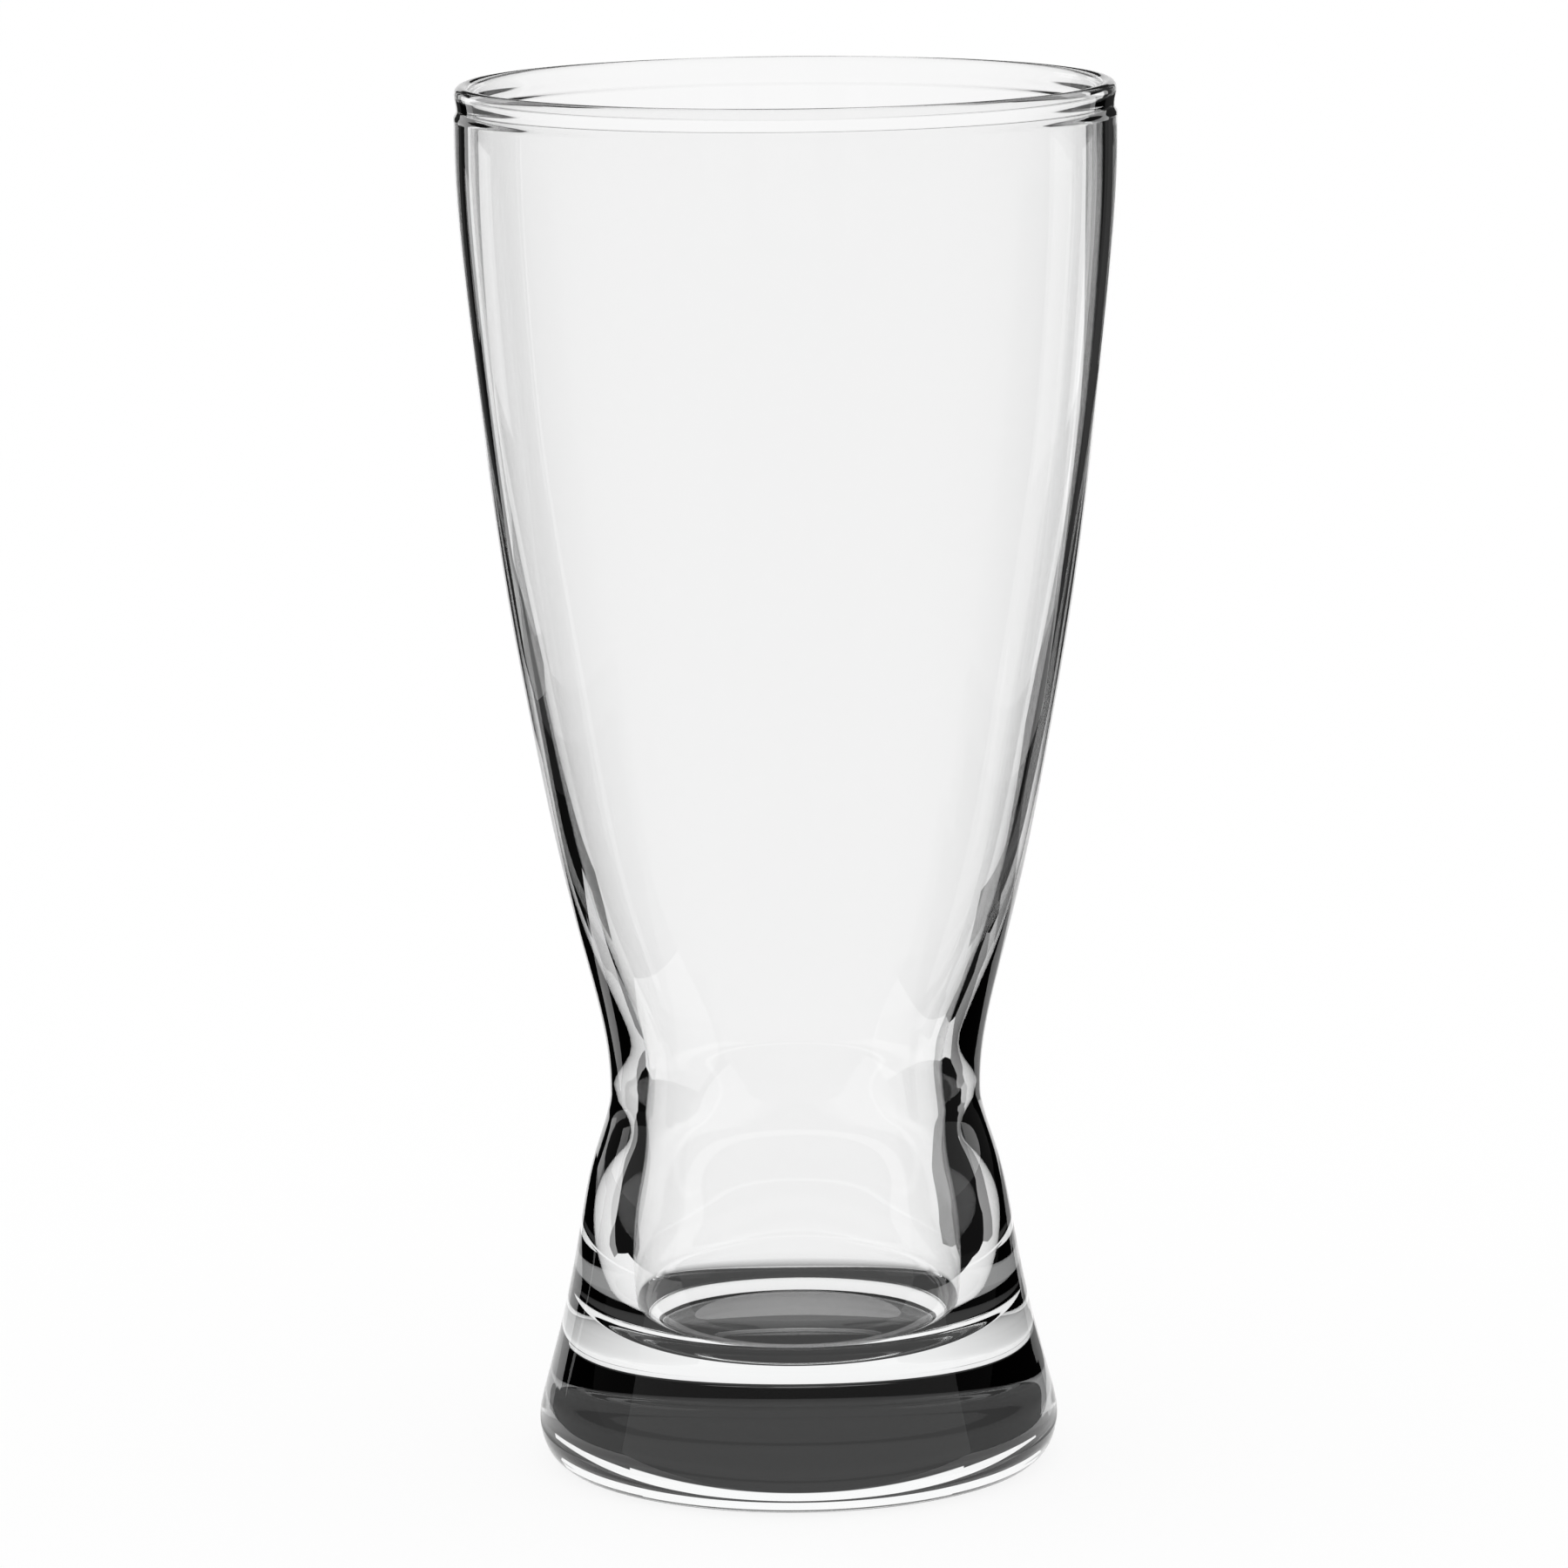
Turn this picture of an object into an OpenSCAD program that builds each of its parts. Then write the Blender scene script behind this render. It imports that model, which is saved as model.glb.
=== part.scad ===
// Pilsner glass: a wide bowl that narrows to a waist, over a heavy solid foot that flares out again.
// Millimetres, +Z up. The origin is the middle of the ring that the glass stands on.

/* [Overall] */
// Height from the table to the top of the rim
glass_h = 184.2; // [170:0.2:220]

/* [Rim] */
// Outside diameter of the rounded rim
rim_d = 86.5; // [80:0.5:94]
// Thickness of the rounded rim
rim_t = 2.1; // [1.8:0.05:2.8]
// Wall a little under the rounded rim
rim_wall_t = 1.9; // [1.6:0.05:2.5]
// How far the groove under the rim lies below the top of the rim
groove_drop = 3.3; // [2.5:0.1:4.5]
// How far the rounded rim stands out past the groove
groove_depth = 0.25; // [0.1:0.05:0.8]
// Height over which the wall comes out again under the groove
groove_fade = 0.95; // [0.5:0.05:3]

/* [Bowl] */
// How far the widest place of the bowl stands out past the rim
belly_out = 0.1; // [0:0.05:4]
// How far the widest place lies below the top of the rim
belly_drop = 8; // [6:0.5:16]
// Outside diameter of the waist
waist_d = 49.4; // [44:0.2:56]
// Height of the waist above the table
waist_z = 50; // [44:0.5:58]
// Wall at its thinnest, two thirds of the way up the bowl
thin_wall_t = 1.45; // [1.1:0.05:1.7]
// Wall at the waist
waist_wall_t = 4.7; // [3:0.1:6]

/* [Well] */
// Diameter of the cavity where it starts to close, under the waist
well_d = 44.8; // [38:0.2:50]
// Height above the table where the cavity starts to close
well_z = 23.2; // [20:0.2:34]
// Diameter inside the rounded bottom edge of the cavity
floor_d = 25.6; // [16:0.4:36]
// Glass between the foot and the cavity
floor_t = 2.6; // [2:0.1:6]
// How far the middle of the cavity's floor rises
floor_rise = 0.2; // [0:0.05:1.5]
// Shape of the rounded bottom edge: 2 is an arc, and more is squarer
corner_squareness = 2.35; // [2:0.05:4]

/* [Foot] */
// Widest diameter of the foot
foot_d = 69.5; // [62:0.1:80]
// Height of the solid foot up to where the bowl starts
foot_h = 13; // [9:0.5:16]
// Height of the rounded edge between the foot's side and its base
heel_h = 5.5; // [2:0.25:8]
// Width of the same rounded edge
heel_w = 3.5; // [2:0.25:6]
// Width of the flat ring that the glass stands on
ring_w = 1; // [0.5:0.25:6]
// Depth of the hollow under the foot
punt_depth = 2.2; // [0.8:0.1:3]

/* [Hidden] */
$fn = 128;

// Chosen by hand along the outline: share of the height, then share of the change in size.
// The bowl's side opens from the waist at [0, 0] to the widest place at [1, 1].
flare_shares = [
    [0, 0], [0.04, 0.014], [0.08, 0.058], [0.16, 0.19], [0.27, 0.363],
    [0.38, 0.506], [0.52, 0.668], [0.7, 0.826], [0.86, 0.943], [1, 1],
];
// The foot's side draws in from the heel at [0, 0] to the waist at [1, 1].
flank_shares = [
    [0, 0], [0.08, 0.06], [0.2, 0.205], [0.4, 0.42], [0.6, 0.585],
    [0.8, 0.775], [0.91, 0.93], [1, 1],
];
// The bowl's wall thins from the waist wall at [0, 0] to the thinnest wall at [1, 1].
thinning_shares = [
    [0, 0], [0.09, 0.28], [0.18, 0.57], [0.3, 0.71], [0.46, 0.83], [0.64, 1], [1, 1],
];
// The cavity narrows from the top of the well at [0, 0] to the waist at [1, 1].
bore_shares = [[0, 0], [0.3, 0.15], [0.55, 0.48], [0.8, 0.85], [1, 1]];
// Share of the way up the bowl from which the wall gathers again toward the rim
gathering_from = 0.64;
// Steps along each stretch of the outline
bowl_steps = 56;
flank_steps = 20;
lip_steps = 30;
inside_lip_steps = 12;
bore_steps = 16;
floor_steps = 6;
arc_steps = 12;
rim_steps = 16;

rim_r = rim_d / 2;
bead_r = rim_t / 2;
bead_z = glass_h - bead_r;
groove_r = rim_r - groove_depth;
groove_z = glass_h - groove_drop;
belly_r = rim_r + belly_out;
belly_z = glass_h - belly_drop;
// Height over which the wall comes out again, longer where it has farther to go
groove_run = min(groove_z - belly_z, max(groove_fade, belly_r - groove_r));
waist_r = waist_d / 2;
bore_r = waist_r - waist_wall_t;
well_r = well_d / 2;
floor_r = floor_d / 2;
floor_z = foot_h + floor_t;
foot_r = foot_d / 2;
ring_r = foot_r - heel_w;
punt_r = ring_r - ring_w;
// Radius of the ball whose cap is the hollow under the foot
punt_ball_r = (punt_r * punt_r + punt_depth * punt_depth) / (2 * punt_depth);

// Whole numbers from 0 to n, as shares of n
function steps(n) = [for (i = [0:n]) i / n];

// From 0 to 1, level at both ends
function ease(t) = t * t * (3 - 2 * t);

// The stretch of a hand-chosen curve that holds the place x
function stretch(curve, x, i = 0) =
    i < len(curve) - 2 && x >= curve[i + 1][0] ? stretch(curve, x, i + 1) : i;

// Rise over run of one stretch
function rise(curve, i) =
    (curve[i + 1][1] - curve[i][1]) / (curve[i + 1][0] - curve[i][0]);

// Step toward the slope at a point: how much the next slope takes from it, and the slope before that
function sweep(curve, i) =
    i == 0 ? [0, 0] :
    let (
        before = 1 / (curve[i][0] - curve[i - 1][0]),
        after = 1 / (curve[i + 1][0] - curve[i][0]),
        last = sweep(curve, i - 1),
        whole = 2 * (before + after) - before * last[0],
        pull = 3 * (rise(curve, i - 1) * before + rise(curve, i) * after)
    )
    [after / whole, (pull - before * last[1]) / whole];

// Slope at a point: level at both ends, and between them such that the bend runs on through the point
function slope(curve, i) =
    i == 0 || i == len(curve) - 1 ? 0 :
    let (here = sweep(curve, i))
    here[1] - here[0] * slope(curve, i + 1);

// The smooth curve through the hand-chosen points, at the place x
function smooth(curve, x) =
    let (
        i = stretch(curve, x),
        run = curve[i + 1][0] - curve[i][0],
        t = (x - curve[i][0]) / run
    )
    curve[i][1] * (1 - ease(t)) + curve[i + 1][1] * ease(t)
    + run * t * (1 - t) * (slope(curve, i) * (1 - t) - slope(curve, i + 1) * t);

// Outside radius of the foot's side, from the heel up to the waist
function flank_r(z) =
    foot_r - (foot_r - waist_r) * smooth(flank_shares, (z - heel_h) / (waist_z - heel_h));

// Share of the way from the waist up to the widest place
function way_up(z) = (z - waist_z) / (belly_z - waist_z);

// Outside radius of the bowl's side, from the waist up to the widest place
function flare_r(z) = waist_r + (belly_r - waist_r) * smooth(flare_shares, way_up(z));

// Share of the way from the groove up to the middle of the rounded rim, and 0 below the groove
function way_to_rim(z) = max(0, (z - groove_z) / (bead_z - groove_z));

// Share of the way into the groove from under it
function way_in(z) = 1 - min(1, (groove_z - z) / groove_run);

// Outside radius from the widest place up to the middle of the rounded rim
function lip_r(z) =
    z > groove_z ? groove_r + groove_depth * ease(way_to_rim(z)) :
    belly_r - (belly_r - groove_r) * ease(way_in(z));

// Inside radius over the same heights, which keeps at least the thinnest wall
function lip_inside_r(z) =
    let (wall_r = belly_r - rim_wall_t)
    min(lip_r(z) - thin_wall_t, wall_r - (wall_r - rim_r + rim_t) * ease(way_to_rim(z)));

// How far the wall has gathered again toward the rim, from 0 to 1
function gathering(way) = ease(max(0, way - gathering_from) / (1 - gathering_from));

// Wall between the waist and the widest place
function wall_at(z) =
    waist_wall_t - (waist_wall_t - thin_wall_t) * smooth(thinning_shares, way_up(z))
    + (rim_wall_t - thin_wall_t) * gathering(way_up(z));

// Radius of the cavity between its rounded bottom edge and the waist
function bore_at(z) =
    well_r + (bore_r - well_r) * smooth(bore_shares, (z - well_z) / (waist_z - well_z));

// Height of the cavity's floor at the radius r
function floor_at(r) = floor_z + floor_rise * pow(1 - pow(r / floor_r, 2), 2);

// Points of a side, from one height to another
flank_low = [for (s = steps(flank_steps)) let (z = heel_h + (foot_h - heel_h) * s) [flank_r(z), z]];
flank_high = [for (s = steps(flank_steps)) let (z = foot_h + (waist_z - foot_h) * s) [flank_r(z), z]];
flare = [for (s = steps(bowl_steps)) let (z = waist_z + (belly_z - waist_z) * s) [flare_r(z), z]];
lip = [for (s = steps(lip_steps)) let (z = belly_z + (bead_z - belly_z) * s) [lip_r(z), z]];

// Points of the rounded rim, from its outside over the top to its inside
rim = [for (s = steps(rim_steps)) [rim_r - bead_r + bead_r * cos(180 * s), bead_z + bead_r * sin(180 * s)]];

// Points of the cavity, from under the rim down to the middle of its floor
inside_lip = [
    for (s = steps(inside_lip_steps))
        let (z = bead_z + (belly_z - bead_z) * s)
        [lip_inside_r(z), z]
];
inside_flare = [for (i = [len(flare) - 1:-1:0]) [flare[i][0] - wall_at(flare[i][1]), flare[i][1]]];
bore = [for (s = steps(bore_steps)) let (z = waist_z + (well_z - waist_z) * s) [bore_at(z), z]];
well_corner = [
    for (s = steps(arc_steps))
        [
            floor_r + (well_r - floor_r) * pow(cos(90 * s), 2 / corner_squareness),
            well_z - (well_z - floor_z) * pow(sin(90 * s), 2 / corner_squareness)
        ]
];
well_floor = [for (s = steps(floor_steps)) let (r = floor_r * (1 - s)) [r, floor_at(r)]];

// Points of the rounded heel, from the ring that the glass stands on up to the foot's side
heel = [for (s = steps(arc_steps)) [ring_r + heel_w * sin(90 * s), heel_h * (1 - cos(90 * s))]];

// Points of the hollow under the foot, from its middle out to the ring
punt = [
    for (s = steps(arc_steps))
        let (r = punt_r * s)
        [r, punt_depth - punt_ball_r + sqrt(punt_ball_r * punt_ball_r - r * r)]
];

// A list without its first point, where the list before it ends there
function rest_of(points) = [for (i = [1:len(points) - 1]) points[i]];

// The blown bowl: waist, flaring side, rounded rim, varying wall and closed floor
module bowl() {
    color([0.93, 0.95, 0.95, 0.4])
    rotate_extrude()
    polygon(concat(
        [[0, foot_h]],
        flank_high, rest_of(flare), rest_of(lip), rest_of(rim),
        rest_of(inside_lip), rest_of(inside_flare), rest_of(bore), rest_of(well_corner),
        rest_of(well_floor)
    ));
}

// The heavy foot: flared side, rounded heel, and a shallow hollow inside the ring it stands on
module foot() {
    color([0.86, 0.89, 0.89, 0.4])
    rotate_extrude()
    polygon(concat(punt, heel, rest_of(flank_low), [[0, foot_h]]));
}

bowl();
foot();
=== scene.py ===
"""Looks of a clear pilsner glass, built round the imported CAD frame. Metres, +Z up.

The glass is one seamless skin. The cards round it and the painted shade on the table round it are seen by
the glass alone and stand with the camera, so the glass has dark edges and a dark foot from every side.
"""

import logging
import math
from dataclasses import dataclass
from enum import Enum

import bmesh
import bpy
from mathutils import Matrix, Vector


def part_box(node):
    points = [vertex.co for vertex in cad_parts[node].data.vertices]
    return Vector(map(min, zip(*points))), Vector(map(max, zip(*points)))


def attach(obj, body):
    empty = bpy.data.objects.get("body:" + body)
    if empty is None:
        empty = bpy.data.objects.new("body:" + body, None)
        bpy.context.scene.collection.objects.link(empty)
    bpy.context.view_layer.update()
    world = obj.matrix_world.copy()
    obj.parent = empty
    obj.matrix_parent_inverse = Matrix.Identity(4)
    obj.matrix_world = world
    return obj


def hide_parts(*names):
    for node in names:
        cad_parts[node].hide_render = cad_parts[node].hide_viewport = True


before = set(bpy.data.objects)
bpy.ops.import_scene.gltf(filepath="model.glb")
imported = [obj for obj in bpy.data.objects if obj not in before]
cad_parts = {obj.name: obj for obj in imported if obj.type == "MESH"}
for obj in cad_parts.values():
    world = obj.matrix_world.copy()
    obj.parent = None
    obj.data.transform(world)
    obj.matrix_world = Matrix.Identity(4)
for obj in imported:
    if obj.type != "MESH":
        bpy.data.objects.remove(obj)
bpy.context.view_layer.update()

MM = 0.001
FULL_TURN = 2 * math.pi
QUARTER_TURN = math.pi / 2
LOG = logging.getLogger("pilsner_glass")

Point = tuple[float, float]
Colour = tuple[float, float, float, float]
WHITE: Colour = (1, 1, 1, 1)
# Colour sockets of a Mix node, which share their names with those of its other kinds
MIX_FIRST, MIX_SECOND, MIX_RESULT = 6, 7, 2


class Side(Enum):
    """Which side of the glass something stands on, seen from the camera."""

    LEFT = -1
    RIGHT = 1


def ease(t: float) -> float:
    """Goes from 0 to 1, level at both ends."""
    return t * t * (3 - 2 * t)


def between(low: float, high: float, steps: int) -> list[float]:
    """Even steps from low to high, both ends among them."""
    return [low + (high - low) * i / steps for i in range(steps + 1)]


@dataclass(frozen=True)
class HandCurve:
    """A smooth curve from (0, 0) to (1, 1) through a few given points, level at both ends."""

    points: tuple[Point, ...]

    def rise(self, i: int) -> float:
        """Rise over run between point i and the next."""
        (x0, y0), (x1, y1) = self.points[i], self.points[i + 1]
        return (y1 - y0) / (x1 - x0)

    def sweep(self, i: int) -> Point:
        """Step toward the slope at a point.

        Args:
            i: number of the point, from 0.

        Returns:
            What the next point's slope takes from this one's, and the slope before that.
        """
        if i == 0:
            return 0.0, 0.0
        before = 1 / (self.points[i][0] - self.points[i - 1][0])
        after = 1 / (self.points[i + 1][0] - self.points[i][0])
        share, rest = self.sweep(i - 1)
        whole = 2 * (before + after) - before * share
        pull = 3 * (self.rise(i - 1) * before + self.rise(i) * after)
        return after / whole, (pull - before * rest) / whole

    def slope(self, i: int) -> float:
        """Slope at a point, such that the bend runs on through it.

        Args:
            i: number of the point, from 0.

        Returns:
            The slope there, level at both ends of the curve.
        """
        if i in (0, len(self.points) - 1):
            return 0.0
        share, rest = self.sweep(i)
        return rest - share * self.slope(i + 1)

    def at(self, x: float) -> float:
        """Value of the curve at x.

        Args:
            x: place along the curve, from 0 to 1.

        Returns:
            The height of the curve there.
        """
        i = 0
        while i < len(self.points) - 2 and x >= self.points[i + 1][0]:
            i += 1
        (x0, y0), (x1, y1) = self.points[i], self.points[i + 1]
        run = x1 - x0
        t = (x - x0) / run
        bend = self.slope(i) * (1 - t) - self.slope(i + 1) * t
        return y0 * (1 - ease(t)) + y1 * ease(t) + run * t * (1 - t) * bend


@dataclass(frozen=True)
class Outline:
    """Half of the glass cut through its axis, as (radius, height) points in metres.

    The flare runs from the waist up to the widest place, the flank from the heel up to the waist,
    the thinning from the waist wall to the thinnest wall, and the bore from the well up to the waist.
    From the share of the way up in gathering_from, the wall gathers again toward the rim.
    """

    glass_h: float
    belly_r: float
    foot_h: float
    foot_r: float
    rim_r: float = 43.25 * MM
    rim_t: float = 2.1 * MM
    groove_drop: float = 3.3 * MM
    groove_depth: float = 0.25 * MM
    groove_fade: float = 0.95 * MM
    belly_drop: float = 8 * MM
    waist_r: float = 24.7 * MM
    waist_z: float = 50 * MM
    rim_wall_t: float = 1.9 * MM
    thin_wall_t: float = 1.45 * MM
    waist_wall_t: float = 4.7 * MM
    well_r: float = 22.4 * MM
    well_z: float = 23.2 * MM
    floor_r: float = 12.8 * MM
    floor_t: float = 2.6 * MM
    floor_rise: float = 0.2 * MM
    corner_squareness: float = 2.35
    heel_h: float = 5.5 * MM
    heel_w: float = 3.5 * MM
    ring_w: float = 1 * MM
    punt_depth: float = 2.2 * MM
    flare: HandCurve = HandCurve((
        (0, 0), (0.04, 0.014), (0.08, 0.058), (0.16, 0.19), (0.27, 0.363),
        (0.38, 0.506), (0.52, 0.668), (0.7, 0.826), (0.86, 0.943), (1, 1),
    ))
    flank: HandCurve = HandCurve((
        (0, 0), (0.08, 0.06), (0.2, 0.205), (0.4, 0.42), (0.6, 0.585),
        (0.8, 0.775), (0.91, 0.93), (1, 1),
    ))
    thinning: HandCurve = HandCurve((
        (0, 0), (0.09, 0.28), (0.18, 0.57), (0.3, 0.71), (0.46, 0.83), (0.64, 1), (1, 1),
    ))
    bore: HandCurve = HandCurve(((0, 0), (0.3, 0.15), (0.55, 0.48), (0.8, 0.85), (1, 1)))
    gathering_from: float = 0.64
    punt_steps: int = 16
    heel_steps: int = 14
    flank_steps: int = 56
    flare_steps: int = 90
    lip_steps: int = 36
    rim_steps: int = 20
    inside_lip_steps: int = 20
    bore_steps: int = 30
    corner_steps: int = 24
    floor_steps: int = 10

    @property
    def bead_r(self) -> float:
        """Radius of the rounded rim's cross-section."""
        return self.rim_t / 2

    @property
    def bead_z(self) -> float:
        """Height of the middle of the rounded rim."""
        return self.glass_h - self.bead_r

    @property
    def belly_z(self) -> float:
        """Height of the widest place of the bowl."""
        return self.glass_h - self.belly_drop

    @property
    def groove_z(self) -> float:
        """Height of the groove under the rounded rim."""
        return self.glass_h - self.groove_drop

    @property
    def groove_r(self) -> float:
        """Radius of the wall in the groove under the rim."""
        return self.rim_r - self.groove_depth

    @property
    def floor_z(self) -> float:
        """Height of the cavity's floor where its corner starts."""
        return self.foot_h + self.floor_t

    def flank_at(self, z: float) -> float:
        """Outside radius between the heel and the waist."""
        way = (z - self.heel_h) / (self.waist_z - self.heel_h)
        return self.foot_r - (self.foot_r - self.waist_r) * self.flank.at(way)

    def flare_at(self, z: float) -> float:
        """Outside radius between the waist and the widest place."""
        way = (z - self.waist_z) / (self.belly_z - self.waist_z)
        return self.waist_r + (self.belly_r - self.waist_r) * self.flare.at(way)

    def lip_at(self, z: float) -> float:
        """Outside radius between the widest place and the middle of the rounded rim.

        Args:
            z: height above the table.

        Returns:
            The radius there.
        """
        if z > self.groove_z:
            way = (z - self.groove_z) / (self.bead_z - self.groove_z)
            return self.groove_r + self.groove_depth * ease(way)
        way = 1 - min(1.0, (self.groove_z - z) / self.groove_fade)
        return self.belly_r - (self.belly_r - self.groove_r) * ease(way)

    def lip_inside_at(self, z: float) -> float:
        """Inside radius between the widest place and the middle of the rounded rim.

        Args:
            z: height above the table.

        Returns:
            The radius there.
        """
        wall_r = self.belly_r - self.rim_wall_t
        way = max(0.0, (z - self.groove_z) / (self.bead_z - self.groove_z))
        return wall_r - (wall_r - self.rim_r + self.rim_t) * ease(way)

    def wall_at(self, z: float) -> float:
        """Wall between the waist and the widest place.

        Args:
            z: height above the table.

        Returns:
            The wall there.
        """
        way = (z - self.waist_z) / (self.belly_z - self.waist_z)
        blown = self.waist_wall_t - (self.waist_wall_t - self.thin_wall_t) * self.thinning.at(way)
        gathered = ease(max(0.0, way - self.gathering_from) / (1 - self.gathering_from))
        return blown + (self.rim_wall_t - self.thin_wall_t) * gathered

    def bore_at(self, z: float) -> float:
        """Radius of the cavity between its rounded bottom edge and the waist.

        Args:
            z: height above the table.

        Returns:
            The radius there.
        """
        bore_r = self.waist_r - self.waist_wall_t
        way = (z - self.well_z) / (self.waist_z - self.well_z)
        return self.well_r + (bore_r - self.well_r) * self.bore.at(way)

    def underside(self) -> list[Point]:
        """The hollow under the foot, the ring that it stands on and the rounded heel.

        Returns:
            Points from the middle of the hollow out to the top of the heel.
        """
        ring_r = self.foot_r - self.heel_w
        punt_r = ring_r - self.ring_w
        ball_r = (punt_r**2 + self.punt_depth**2) / (2 * self.punt_depth)
        hollow = [
            (r, self.punt_depth - ball_r + math.sqrt(ball_r**2 - r**2))
            for r in between(0, punt_r, self.punt_steps)
        ]
        heel = [
            (ring_r + self.heel_w * math.sin(a), self.heel_h * (1 - math.cos(a)))
            for a in between(0, QUARTER_TURN, self.heel_steps)
        ]
        return hollow + heel

    def outside(self) -> list[Point]:
        """The foot's side, the bowl's side and the groove under the rim.

        Returns:
            Points from above the heel up to the rounded rim.
        """
        flank = [(self.flank_at(z), z) for z in between(self.heel_h, self.waist_z, self.flank_steps)[1:]]
        flare = [(self.flare_at(z), z) for z in between(self.waist_z, self.belly_z, self.flare_steps)[1:]]
        lip = [(self.lip_at(z), z) for z in between(self.belly_z, self.bead_z, self.lip_steps)[1:]]
        return flank + flare + lip

    def rim(self) -> list[Point]:
        """The rounded top of the rim.

        Returns:
            Points from its outside over the top to its inside.
        """
        middle = self.rim_r - self.bead_r
        return [
            (middle + self.bead_r * math.cos(a), self.bead_z + self.bead_r * math.sin(a))
            for a in between(0, math.pi, self.rim_steps)[1:]
        ]

    def corner(self) -> list[Point]:
        """The rounded bottom edge of the cavity, squarer than an arc.

        Returns:
            Points from the cavity's side down to its floor.
        """
        power = 2 / self.corner_squareness
        wide, deep = self.well_r - self.floor_r, self.well_z - self.floor_z
        return [
            (self.floor_r + wide * abs(math.cos(a))**power, self.well_z - deep * math.sin(a)**power)
            for a in between(0, QUARTER_TURN, self.corner_steps)
        ]

    def cavity(self) -> list[Point]:
        """The inside of the glass.

        Returns:
            Points from the rounded rim down to the middle of the floor.
        """
        lip = [
            (self.lip_inside_at(z), z)
            for z in between(self.bead_z, self.belly_z, self.inside_lip_steps)[1:]
        ]
        flare = [
            (self.flare_at(z) - self.wall_at(z), z)
            for z in between(self.belly_z, self.waist_z, self.flare_steps)[1:]
        ]
        bore = [(self.bore_at(z), z) for z in between(self.waist_z, self.well_z, self.bore_steps)[1:]]
        floor = [
            (r, self.floor_z + self.floor_rise * (1 - (r / self.floor_r)**2)**2)
            for r in between(self.floor_r, 0, self.floor_steps)[1:]
        ]
        return lip + flare + bore + self.corner()[1:] + floor

    def points(self) -> list[Point]:
        """The whole half outline, from the middle of the underside round to the middle of the floor."""
        return self.underside() + self.outside() + self.rim() + self.cavity()


@dataclass
class NodeSheet:
    """The shader nodes of one material or of the world, drawn from nothing."""

    owner: bpy.types.ID

    def __post_init__(self) -> None:
        """Clears the sheet."""
        self.owner.use_nodes = True
        self.tree = self.owner.node_tree
        self.tree.nodes.clear()

    def add(self, kind: str, **values: float | Colour) -> bpy.types.Node:
        """Adds a node.

        Args:
            kind: the node's type.
            values: its sockets to set, with _ for each space in a socket's name.

        Returns:
            The new node.
        """
        node = self.tree.nodes.new(kind)
        for name, value in values.items():
            node.inputs[name.replace("_", " ")].default_value = value
        return node

    def join(self, source: bpy.types.NodeSocket, target: bpy.types.NodeSocket) -> None:
        """Joins an output to an input."""
        self.tree.links.new(source, target)

    def sees_backdrop(self) -> bpy.types.NodeSocket:
        """Tells the glass's rays from the others.

        Returns:
            An output that is 1 for what the glass reflects or lets through, otherwise 0.
        """
        path = self.add("ShaderNodeLightPath")
        either = self.add("ShaderNodeMath")
        either.operation = "MAXIMUM"
        self.join(path.outputs["Is Glossy Ray"], either.inputs[0])
        self.join(path.outputs["Is Transmission Ray"], either.inputs[1])
        return either.outputs["Value"]


@dataclass(frozen=True)
class ClearGlass:
    """Clear fire-polished glass, with the faint waves that blowing and pressing leave in it.

    The shade is the share of the light that one skin keeps from the table.
    """

    name: str = "clear_glass"
    tint: Colour = WHITE
    ior: float = 1.52
    roughness: float = 0.0
    body_tint: Colour = (0.72, 0.8, 0.8, 1)
    body_density: float = 1.2
    wave_scale: float = 34.0
    wave_detail: float = 1.0
    wave_roughness: float = 0.4
    wave_height: float = 0.004 * MM
    shade: float = 0.06

    def make(self) -> bpy.types.Material:
        """Makes the material.

        Returns:
            The material, its skin and its body together.
        """
        material = bpy.data.materials.new(self.name)
        sheet = NodeSheet(material)
        out = sheet.add("ShaderNodeOutputMaterial")
        glass = sheet.add(
            "ShaderNodeBsdfPrincipled", Base_Color=self.tint, Roughness=self.roughness,
            IOR=self.ior, Transmission_Weight=1.0,
        )
        sheet.join(self.waves(sheet), glass.inputs["Normal"])
        path = sheet.add("ShaderNodeLightPath")
        lit = 1 - self.shade
        clear = sheet.add("ShaderNodeBsdfTransparent", Color=(lit, lit, lit, 1))
        mix = sheet.add("ShaderNodeMixShader")
        sheet.join(path.outputs["Is Shadow Ray"], mix.inputs["Fac"])
        sheet.join(glass.outputs["BSDF"], mix.inputs[1])
        sheet.join(clear.outputs["BSDF"], mix.inputs[2])
        sheet.join(mix.outputs["Shader"], out.inputs["Surface"])
        body = sheet.add("ShaderNodeVolumeAbsorption", Color=self.body_tint, Density=self.body_density)
        sheet.join(body.outputs["Volume"], out.inputs["Volume"])
        return material

    def waves(self, sheet: NodeSheet) -> bpy.types.NodeSocket:
        """Adds long shallow waves to the skin.

        Args:
            sheet: the material's nodes.

        Returns:
            The output that gives the waved skin's direction.
        """
        where = sheet.add("ShaderNodeTexCoord")
        noise = sheet.add(
            "ShaderNodeTexNoise", Scale=self.wave_scale, Detail=self.wave_detail,
            Roughness=self.wave_roughness,
        )
        bump = sheet.add("ShaderNodeBump", Strength=1.0, Distance=self.wave_height)
        sheet.join(where.outputs["Object"], noise.inputs["Vector"])
        sheet.join(noise.outputs["Fac"], bump.inputs["Height"])
        return bump.outputs["Normal"]


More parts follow.
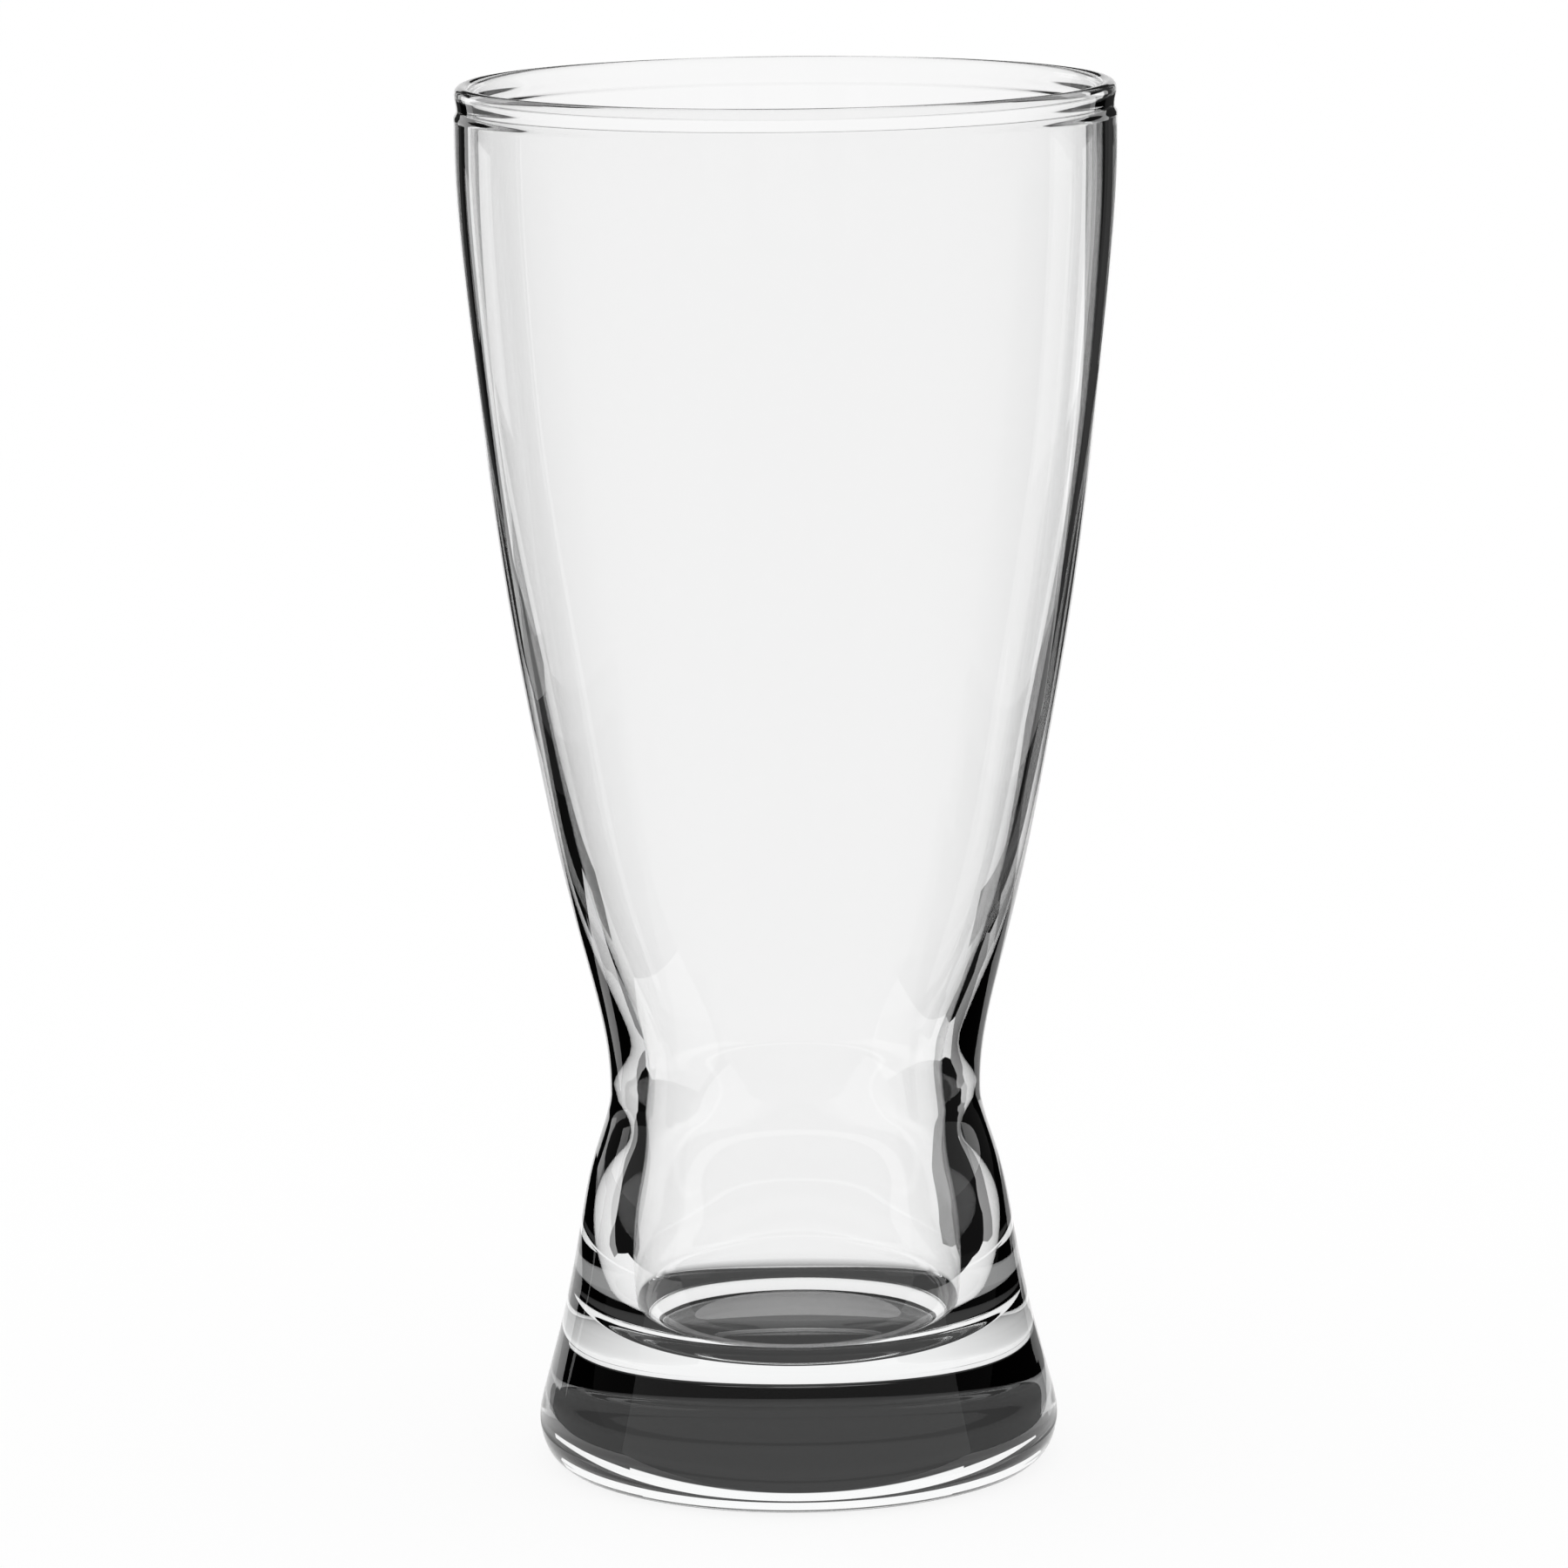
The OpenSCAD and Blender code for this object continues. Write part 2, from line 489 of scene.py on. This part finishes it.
@dataclass
class GlassBody:
    """The whole glass, one seamless skin over its bowl and its foot."""

    outline: Outline
    finish: ClearGlass
    columns: int = 192
    crease_angle: float = math.radians(24)
    crease_r: float = 0.35 * MM
    crease_steps: int = 4
    merge_gap: float = 0.001 * MM

    def build(self) -> bpy.types.Object:
        """Makes the glass and gives it its place in the frame.

        Returns:
            The finished object.
        """
        bm = bmesh.new()
        self.turn_outline(bm)
        self.soften_creases(bm)
        mesh = bpy.data.meshes.new("glass_body")
        bm.to_mesh(mesh)
        bm.free()
        mesh.shade_smooth()
        glass = bpy.data.objects.new("glass_body", mesh)
        bpy.context.scene.collection.objects.link(glass)
        mesh.materials.append(self.finish.make())
        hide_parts("bowl", "foot")
        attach(glass, "root")
        return glass

    def turn_outline(self, bm: bmesh.types.BMesh) -> None:
        """Draws the half outline and turns it about the axis into a closed skin.

        Args:
            bm: the empty mesh to draw in.
        """
        wire = [bm.verts.new((r, 0, z)) for r, z in self.outline.points()]
        edges = [bm.edges.new(pair) for pair in zip(wire, wire[1:])]
        bmesh.ops.spin(
            bm, geom=wire + edges, cent=(0, 0, 0), axis=(0, 0, 1),
            angle=FULL_TURN, steps=self.columns, use_merge=True,
        )
        bmesh.ops.remove_doubles(bm, verts=bm.verts, dist=self.merge_gap)
        bmesh.ops.recalc_face_normals(bm, faces=bm.faces)

    def soften_creases(self, bm: bmesh.types.BMesh) -> None:
        """Rounds the sharp rings left by the outline, as a flame leaves them.

        Args:
            bm: the closed skin.
        """
        sharp = [e for e in bm.edges if e.is_manifold and e.calc_face_angle() > self.crease_angle]
        bmesh.ops.bevel(
            bm, geom=sharp, offset=self.crease_r, segments=self.crease_steps,
            affect="EDGES", profile=0.5, material=-1,
        )


@dataclass
class PhotoCamera:
    """The camera at the photograph's place, its lens and its sensor in millimetres."""

    distance: float = 0.986
    height: float = 0.2642
    aside: float = -0.0011
    pitch: float = math.radians(9.957)
    roll: float = math.radians(-0.6)
    lens: float = 173.3
    sensor_w: float = 36

    def build(self) -> bpy.types.Object:
        """Makes the camera and takes it for the scene.

        Returns:
            The camera object.
        """
        data = bpy.data.cameras.new("photo_camera")
        data.sensor_width = self.sensor_w
        data.lens = self.lens
        camera = bpy.data.objects.new("photo_camera", data)
        bpy.context.scene.collection.objects.link(camera)
        tilt = Matrix.Rotation(QUARTER_TURN - self.pitch, 4, "X")
        turn = Matrix.Rotation(self.roll, 4, "Z")
        place = Matrix.Translation((self.aside, -self.distance, self.height))
        camera.matrix_world = place @ tilt @ turn
        bpy.context.scene.camera = camera
        return camera


@dataclass(frozen=True)
class Flag:
    """A dark card that hangs beside the glass and gives it dark edges.

    Its far and near ends are given as distances to its side and to the back. The clearance is the gap
    under it, and the rise is how much larger that gap is at the far end.
    """

    name: str
    side: Side
    far: Point
    near: Point
    clearance: float = 0.001
    rise: float = 0
    height: float = 0.8
    tone: float = 0.04

    def build(self, stage: "StudioSet") -> bpy.types.Object:
        """Makes the card, which only the glass sees.

        Args:
            stage: the set that the card belongs to.

        Returns:
            The card, standing with the camera.
        """
        bm = bmesh.new()
        (near_x, near_y), (far_x, far_y) = self.near, self.far
        top = self.clearance + self.height
        corners = (
            (near_x, near_y, self.clearance), (far_x, far_y, self.clearance + self.rise),
            (far_x, far_y, top), (near_x, near_y, top),
        )
        bm.faces.new([bm.verts.new((self.side.value * x, y, z)) for x, y, z in corners])
        name = f"{self.name}_{self.side.name.lower()}"
        return stage.put_card(name, bm, stage.plain_finish(name, self.tone))


@dataclass(frozen=True)
class ShadeSheet:
    """A sheet of painted shade that lies on the table and only the glass sees: it makes the white table
    darker there.

    Its corners are given as distances to its side and to the back.
    """

    name: str
    side: Side
    tone: float
    corners: tuple[Point, ...]

    def build(self, stage: "StudioSet") -> bpy.types.Object:
        """Makes the sheet of painted shade, which only the glass sees.

        Args:
            stage: the set that the sheet belongs to.

        Returns:
            The sheet, lying with the camera.
        """
        bm = bmesh.new()
        z = stage.layer(1)
        bm.faces.new([bm.verts.new((self.side.value * x, y, z)) for x, y in self.corners])
        name = f"{self.name}_{self.side.name.lower()}"
        return stage.put_card(name, bm, stage.plain_finish(name, self.tone))


@dataclass(frozen=True)
class FrontTent:
    """A grey tent round the glass, open at the back: a curved wall and a sheet on the table in front.

    The opening is given as the angle from straight back to each end of the wall, and the start as how
    far in front of the glass's axis the sheet begins.
    """

    radius: float = 1.6
    height: float = 1.6
    start: float = 0.038
    half_opening: float = math.radians(60)
    steps: int = 32
    wall_tone: float = 0.3
    sheet_tone: float = 0.33

    def wall(self, stage: "StudioSet") -> bpy.types.Object:
        """Makes the wall, from one side of the opening round the front to the other side.

        Args:
            stage: the set that the tent belongs to.

        Returns:
            The wall, standing with the camera.
        """
        bm = bmesh.new()
        x, y = self.radius * math.sin(self.half_opening), self.radius * math.cos(self.half_opening)
        pole = [bm.verts.new((x, y, z)) for z in (0, self.height)]
        bmesh.ops.spin(
            bm, geom=pole + [bm.edges.new(pole)], cent=(0, 0, 0), axis=(0, 0, -1),
            angle=FULL_TURN - 2 * self.half_opening, steps=self.steps,
        )
        return stage.put_card("front_wall", bm, stage.plain_finish("wall_grey", self.wall_tone))

    def sheet(self, stage: "StudioSet") -> bpy.types.Object:
        """Makes the sheet on the table, from in front of the foot to the wall.

        Args:
            stage: the set that the tent belongs to.

        Returns:
            The sheet, lying with the camera.
        """
        bm = bmesh.new()
        near, far = -self.start, -self.radius
        corners = ((-self.radius, near), (-self.radius, far), (self.radius, far), (self.radius, near))
        bm.faces.new([bm.verts.new((x, y, stage.layer(2))) for x, y in corners])
        return stage.put_card("front_sheet", bm, stage.plain_finish("tent_grey", self.sheet_tone))


# Places of the cards in metres: the distance to the card's side, then the distance to the back
FLAGS = (
    Flag("low_flag", Side.LEFT, far=(0.158, 0.1), near=(0.158, -0.04), height=0.02, tone=0.004),
    Flag("near_flag", Side.LEFT, far=(0.16, 0.1), near=(0.16, -0.04), height=0.045),
    Flag(
        "middle_flag", Side.LEFT, far=(0.122, 0.188), near=(0.16, 0.1),
        clearance=0.034, rise=0.007, height=0.02,
    ),
    Flag("far_flag", Side.LEFT, far=(0.1, 0.24), near=(0.122, 0.188), clearance=0.041, rise=0.005),
    Flag("low_flag", Side.RIGHT, far=(0.103, 0.1), near=(0.103, -0.04), height=0.02, tone=0.004),
    Flag("near_flag", Side.RIGHT, far=(0.105, 0.1), near=(0.105, -0.04), height=0.045),
    Flag("far_flag", Side.RIGHT, far=(0.095, 0.22), near=(0.105, 0.1), clearance=0.03, rise=0.012),
)
# Painted shade and painted shadow on the white table, which only the glass sees: each tone is how much
# light the table gets there
SHADE_SHEETS = (
    ShadeSheet("back_painted_shade", Side.LEFT, 0.5, (
        (0.25, 0.13), (0.47, 0.25), (2, 1.06), (2, 2), (1.68, 2), (0.34, 0.4), (0.25, 0.4),
    )),
    ShadeSheet("side_painted_shade", Side.LEFT, 0.25, ((0.25, -0.04), (2, -0.04), (2, 1.06), (0.25, 0.13))),
    ShadeSheet("back_painted_shade", Side.RIGHT, 0.5, (
        (0.25, 0.13), (0.47, 0.25), (2, 1.06), (2, 1.8), (0.44, 0.4), (0.25, 0.3),
    )),
    ShadeSheet("side_painted_shade", Side.RIGHT, 0.22, ((0.25, -0.04), (2, -0.04), (2, 1.06), (0.25, 0.13))),
    ShadeSheet("near_painted_shade", Side.LEFT, 0.35, (
        (0.07, 0.048), (0.08, 0.05), (0.084, 0.062), (0.098, 0.086), (0.085, 0.08), (0.075, 0.072),
        (0.068, 0.062),
    )),
    ShadeSheet("far_painted_shade", Side.LEFT, 0.75, (
        (0.085, 0.08), (0.098, 0.086), (0.112, 0.098), (0.13, 0.107), (0.15, 0.125), (0.16, 0.16),
        (0.09, 0.16), (0.08, 0.14), (0.078, 0.12), (0.086, 0.1),
    )),
    ShadeSheet("dark_painted_shade", Side.LEFT, 0.004, (
        (0.1, -0.04), (0.25, -0.04), (0.25, 0.4), (0.5, 0.77), (1.3, 2), (0.55, 2), (0.33, 1.2),
        (0.28, 0.75), (0.22, 0.5), (0.19, 0.4), (0.16, 0.33), (0.1, 0.27), (0.09, 0.22),
        (0.085, 0.16), (0.16, 0.16), (0.15, 0.125), (0.13, 0.107), (0.112, 0.098), (0.098, 0.086),
        (0.084, 0.062), (0.08, 0.05), (0.1, 0.042),
    )),
    ShadeSheet("near_painted_shade", Side.RIGHT, 0.35, (
        (0.054, 0.085), (0.05, 0.068), (0.06, 0.062), (0.072, 0.062), (0.078, 0.076), (0.086, 0.092),
        (0.1, 0.1), (0.112, 0.115), (0.105, 0.13), (0.08, 0.13), (0.074, 0.11), (0.062, 0.1),
    )),
    ShadeSheet("middle_painted_shade", Side.RIGHT, 0.7, ((0.08, 0.13), (0.105, 0.13), (0.11, 0.16), (0.08, 0.16))),
    ShadeSheet("far_painted_shade", Side.RIGHT, 0.4, ((0.075, 0.16), (0.13, 0.16), (0.14, 0.25), (0.085, 0.25))),
    ShadeSheet("dark_painted_shade", Side.RIGHT, 0.004, (
        (0.08, -0.04), (0.25, -0.04), (0.25, 0.3), (2, 2), (0.43, 2), (0.36, 1.4), (0.25, 0.75),
        (0.2, 0.5), (0.15, 0.35), (0.14, 0.25), (0.13, 0.16), (0.11, 0.16), (0.105, 0.13),
        (0.112, 0.115), (0.1, 0.1), (0.086, 0.092), (0.078, 0.076), (0.072, 0.062), (0.074, 0.05),
        (0.08, 0.04),
    )),
)


@dataclass
class StudioSet:
    """A pale table in a plain studio: the floor, the cards that give glass its dark lines, the light.

    The floor's evenness is the share of even white that the camera sees in it, and the rest is paper
    that takes a shadow. The shade round the foot runs from shade_in to shade_out, each a radius and its
    tone. The sky is a list of elevations in degrees and their tones, from the horizon up.
    """

    camera: bpy.types.Object
    floor_half: float = 4.0
    floor_drop: float = 0.1 * MM
    floor_evenness: float = 0.85
    sheet_t: float = 0.02 * MM
    under_r: float = 32 * MM
    under_tone: float = 0.045
    shade_in: Point = (0.04, 0.45)
    shade_out: Point = (0.048, 0.95)
    round_steps: int = 96
    light_bounces: int = 24
    sky: tuple[Point, ...] = ((0, 1), (10, 1), (10.5, 0.04), (40, 0.038), (90, 0.18))

    def layer(self, number: int) -> float:
        """Height of a sheet on the table, the sheets counted up from the floor."""
        return -self.floor_drop + number * self.sheet_t

    def plain_finish(self, name: str, glow: float) -> bpy.types.Material:
        """Makes a finish that shows one even tone, whatever lights it.

        Args:
            name: the finish's name.
            glow: its tone, from 0 for black to 1 for white.

        Returns:
            The material.
        """
        material = bpy.data.materials.new(name)
        sheet = NodeSheet(material)
        tone = sheet.add("ShaderNodeEmission", Color=WHITE, Strength=glow)
        out = sheet.add("ShaderNodeOutputMaterial")
        sheet.join(tone.outputs["Emission"], out.inputs["Surface"])
        return material

    def shade_finish(self) -> bpy.types.Material:
        """Makes a grey that fades with the distance from the middle.

        Returns:
            The material.
        """
        material = bpy.data.materials.new("shade_grey")
        sheet = NodeSheet(material)
        where = sheet.add("ShaderNodeTexCoord")
        apart = sheet.add("ShaderNodeVectorMath")
        apart.operation = "LENGTH"
        fade = sheet.add(
            "ShaderNodeMapRange", From_Min=self.shade_in[0], From_Max=self.shade_out[0],
            To_Min=self.shade_in[1], To_Max=self.shade_out[1],
        )
        tone = sheet.add("ShaderNodeEmission", Color=WHITE)
        out = sheet.add("ShaderNodeOutputMaterial")
        sheet.join(where.outputs["Object"], apart.inputs[0])
        sheet.join(apart.outputs["Value"], fade.inputs["Value"])
        sheet.join(fade.outputs["Result"], tone.inputs["Strength"])
        sheet.join(tone.outputs["Emission"], out.inputs["Surface"])
        return material

    def floor_finish(self) -> bpy.types.Material:
        """Makes white paper, even for the glass, and with a trace of shadow for the camera.

        Returns:
            The material.
        """
        material = bpy.data.materials.new("pale_floor")
        sheet = NodeSheet(material)
        paper = sheet.add("ShaderNodeBsdfDiffuse", Color=WHITE)
        even = sheet.add("ShaderNodeEmission", Color=WHITE, Strength=1.0)
        path = sheet.add("ShaderNodeLightPath")
        share = sheet.add("ShaderNodeMath")
        share.operation = "MULTIPLY"
        share.inputs[1].default_value = self.floor_evenness
        seen = sheet.add("ShaderNodeMath")
        seen.operation = "MAXIMUM"
        mix = sheet.add("ShaderNodeMixShader")
        out = sheet.add("ShaderNodeOutputMaterial")
        sheet.join(path.outputs["Is Camera Ray"], share.inputs[0])
        sheet.join(share.outputs["Value"], seen.inputs[0])
        sheet.join(sheet.sees_backdrop(), seen.inputs[1])
        sheet.join(seen.outputs["Value"], mix.inputs["Fac"])
        sheet.join(paper.outputs["BSDF"], mix.inputs[1])
        sheet.join(even.outputs["Emission"], mix.inputs[2])
        sheet.join(mix.outputs["Shader"], out.inputs["Surface"])
        return material

    def put(self, name: str, bm: bmesh.types.BMesh, finish: bpy.types.Material) -> bpy.types.Object:
        """Makes a stage object, which isn't exported.

        Args:
            name: the object's name.
            bm: its shape, which is used up.
            finish: its material.

        Returns:
            The object.
        """
        mesh = bpy.data.meshes.new(name)
        bm.to_mesh(mesh)
        bm.free()
        mesh.materials.append(finish)
        thing = bpy.data.objects.new(name, mesh)
        bpy.context.scene.collection.objects.link(thing)
        return thing

    def put_card(self, name: str, bm: bmesh.types.BMesh, finish: bpy.types.Material) -> bpy.types.Object:
        """Makes a card that stands with the camera and that only the glass shows.

        Args:
            name: the card's name.
            bm: its shape, which is used up.
            finish: its material.

        Returns:
            The card.
        """
        card = self.put(name, bm, finish)
        card.visible_camera = False
        card.visible_diffuse = False
        card.visible_shadow = False
        card.parent = self.camera
        card.matrix_parent_inverse = self.camera.matrix_world.inverted()
        return card

    def floor(self) -> None:
        """The table top, a hair under the ring that the glass stands on."""
        bm = bmesh.new()
        bmesh.ops.create_grid(bm, x_segments=1, y_segments=1, size=self.floor_half)
        bmesh.ops.translate(bm, verts=bm.verts, vec=(0, 0, self.layer(0)))
        self.put("floor", bm, self.floor_finish())

    def under_card(self) -> None:
        """The unlit round of table under the foot, as the glass shows it."""
        bm = bmesh.new()
        bmesh.ops.create_circle(bm, cap_ends=True, segments=self.round_steps, radius=self.under_r)
        bmesh.ops.translate(bm, verts=bm.verts, vec=(0, 0, self.layer(1)))
        self.put_card("under_card", bm, self.plain_finish("under_grey", self.under_tone))

    def shade_ring(self) -> None:
        """The soft shade on the table round the foot, as the glass shows it."""
        bm = bmesh.new()
        start = [bm.verts.new((r, 0, self.layer(1))) for r, _ in (self.shade_in, self.shade_out)]
        bmesh.ops.spin(
            bm, geom=start + [bm.edges.new(start)], cent=(0, 0, 0), axis=(0, 0, 1),
            angle=FULL_TURN, steps=self.round_steps, use_merge=True,
        )
        self.put_card("shade_ring", bm, self.shade_finish())

    def world(self) -> None:
        """White all round; in the glass, white near the horizon and dim above."""
        world = bpy.data.worlds.new("studio")
        bpy.context.scene.world = world
        sheet = NodeSheet(world)
        where = sheet.add("ShaderNodeTexCoord")
        split = sheet.add("ShaderNodeSeparateXYZ")
        ramp = sheet.add("ShaderNodeValToRGB")
        stops = ramp.color_ramp.elements
        for elevation, _ in self.sky[1:-1]:
            stops.new(math.sin(math.radians(elevation)))
        for stop, (_, tone) in zip(stops, self.sky):
            stop.color = (tone, tone, tone, 1)
        mix = sheet.add("ShaderNodeMix")
        mix.data_type = "RGBA"
        mix.inputs[MIX_FIRST].default_value = WHITE
        back = sheet.add("ShaderNodeBackground")
        out = sheet.add("ShaderNodeOutputWorld")
        sheet.join(where.outputs["Generated"], split.inputs["Vector"])
        sheet.join(split.outputs["Z"], ramp.inputs["Fac"])
        sheet.join(sheet.sees_backdrop(), mix.inputs["Factor"])
        sheet.join(ramp.outputs["Color"], mix.inputs[MIX_SECOND])
        sheet.join(mix.outputs[MIX_RESULT], back.inputs["Color"])
        sheet.join(back.outputs["Background"], out.inputs["Surface"])

    def view(self) -> None:
        """Plain colours, and enough bounces for light to cross both walls and the foot."""
        scene = bpy.context.scene
        scene.view_settings.view_transform = "Standard"
        scene.cycles.max_bounces = self.light_bounces
        scene.cycles.transmission_bounces = self.light_bounces

    def build(self) -> None:
        """Makes the whole set."""
        self.floor()
        self.under_card()
        self.shade_ring()
        for card in FLAGS + SHADE_SHEETS:
            card.build(self)
        tent = FrontTent()
        tent.wall(self)
        tent.sheet(self)
        self.world()
        self.view()


def cad_outline() -> Outline:
    """Takes the outline's main sizes from the frame.

    Returns:
        The outline.
    """
    foot_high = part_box("foot")[1]
    bowl_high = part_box("bowl")[1]
    return Outline(
        glass_h=bowl_high.z, belly_r=bowl_high.x, foot_h=foot_high.z, foot_r=foot_high.x,
    )


def main() -> None:
    """Builds the glass, the camera and the set in order."""
    logging.basicConfig(level=logging.INFO)
    camera = PhotoCamera().build()
    glass = GlassBody(cad_outline(), ClearGlass()).build()
    LOG.info("%s: %d faces", glass.name, len(glass.data.polygons))
    StudioSet(camera).build()


if __name__ == "__main__":
    main()
